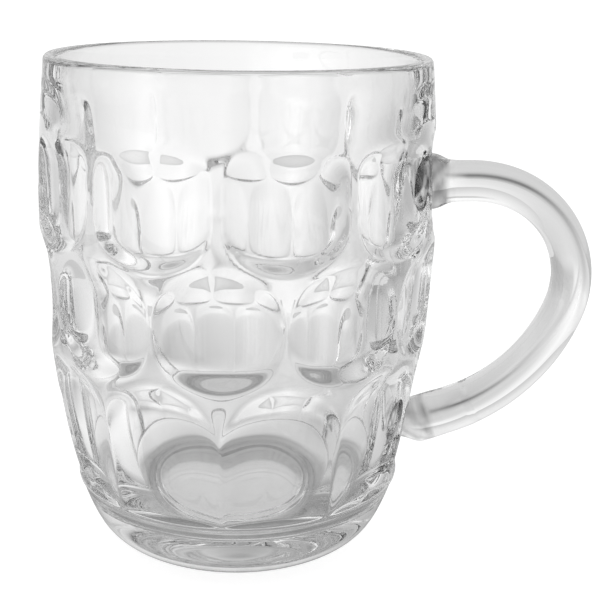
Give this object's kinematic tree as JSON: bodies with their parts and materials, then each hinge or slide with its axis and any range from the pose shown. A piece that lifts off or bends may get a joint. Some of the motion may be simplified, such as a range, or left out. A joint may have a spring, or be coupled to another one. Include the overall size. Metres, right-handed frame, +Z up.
{
  "type": "dimpled beer mug",
  "caption": "Heavy clear glass beer mug with staggered rows of concave dimples, a plain rim band, a thick base and a glass handle joined over the dimples.",
  "frame": {"origin": "on the bowl's axis, in the plane of the foot ring that the mug stands on", "axes": "+Z up along the bowl's axis, +X from the axis through the handle, +Y across the plane of the handle"},
  "size_m": [0.141, 0.1004, 0.128],
  "materials": {
    "clear_glass": "clear pressed soda-lime glass, fire-polished"
  },
  "bodies": {
    "root": {"bowl": "clear_glass", "handle": "clear_glass"}
  },
  "joints": []
}
